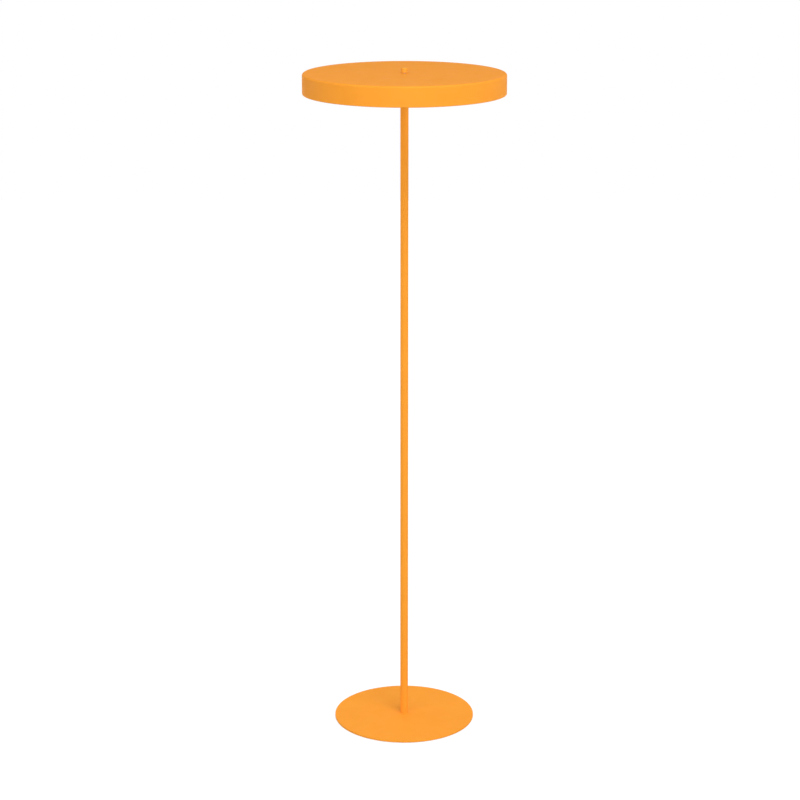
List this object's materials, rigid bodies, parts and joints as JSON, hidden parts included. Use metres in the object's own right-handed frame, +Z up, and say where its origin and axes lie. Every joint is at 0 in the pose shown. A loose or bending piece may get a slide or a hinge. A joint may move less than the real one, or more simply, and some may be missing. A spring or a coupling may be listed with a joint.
{
  "type": "floor lamp",
  "caption": "Slim floor lamp: shallow closed disc shade lit from below, thin round stem, thin disc base and a push-and-turn dimmer knob on top.",
  "frame": {"origin": "centre of the base's underside, on the floor", "axes": "+Z up along the stem, -Y the front that the picture shows, +Y the back where the cable leaves"},
  "size_m": [0.4, 0.4, 1.36],
  "materials": {
    "orange_coat": "satin",
    "pad_rubber": "matte",
    "grommet_rubber": "matte",
    "zinc_steel": "satin",
    "black_steel": "satin",
    "brass": "satin",
    "carrier_aluminium": "satin",
    "board_white": "satin",
    "chip_yellow": "satin",
    "connector_white": "gloss",
    "lead_sheath": "satin",
    "opal": "satin",
    "driver_plastic": "matte",
    "board_green": "satin",
    "transformer_tape": "satin",
    "capacitor_can": "satin",
    "dimmer_plastic": "satin"
  },
  "bodies": {
    "lamp": {"base_plate": "orange_coat", "stem_tube": "orange_coat", "shade": "orange_coat", "diffuser_collar": "orange_coat", "base_pad": "pad_rubber", "cable_grommet": "grommet_rubber", "lead_grommet": "grommet_rubber", "base_screw": "zinc_steel", "stem_foot_plug": "zinc_steel", "stem_head_plug": "zinc_steel", "stem_flange": "zinc_steel", "flange_screws": "zinc_steel", "head_washer": "zinc_steel", "shade_studs": "zinc_steel", "stud_spacers": "zinc_steel", "stud_washers": "zinc_steel", "stud_nuts": "zinc_steel", "board_screws": "zinc_steel", "driver_screws": "zinc_steel", "dimmer_screws": "zinc_steel", "dimmer_standoffs": "zinc_steel", "dimmer_pins": "zinc_steel", "dimmer_cover": "zinc_steel", "dimmer_dome": "zinc_steel", "collar_screw": "black_steel", "stem_nipple": "brass", "head_nut": "brass", "led_carrier": "carrier_aluminium", "led_boards_outer": "board_white", "led_boards_inner": "board_white", "led_link_board": "board_white", "led_chips": "chip_yellow", "board_connectors": "connector_white", "lead_terminal": "connector_white", "driver_terminals": "connector_white", "dimmer_plug": "connector_white", "led_lead": "lead_sheath", "dimmer_lead": "lead_sheath", "diffuser": "opal", "driver_case": "driver_plastic", "driver_lid": "driver_plastic", "driver_board": "board_green", "dimmer_board": "board_green", "driver_transformer": "transformer_tape", "driver_capacitors": "capacitor_can", "dimmer_housing": "dimmer_plastic"},
    "rotor": {"dimmer_rotor": "dimmer_plastic"},
    "knob": {"dimmer_shaft": "zinc_steel", "dimmer_knob": "orange_coat", "knob_screw": "black_steel"}
  },
  "joints": [
    {"name": "dimmer_turn", "type": "hinge", "parent": "lamp", "child": "rotor", "pos_m": [0, 0, 1.35], "axis": [0, 0, 1], "range_deg": [-135, 135]},
    {"name": "dimmer_press", "type": "slide", "parent": "rotor", "child": "knob", "axis": [0, 0, -1], "range_m": [0, 0.0005], "stiffness_N_per_m": 3000, "springref_m": -0.0005, "deforming": ["dimmer_dome"]}
  ]
}
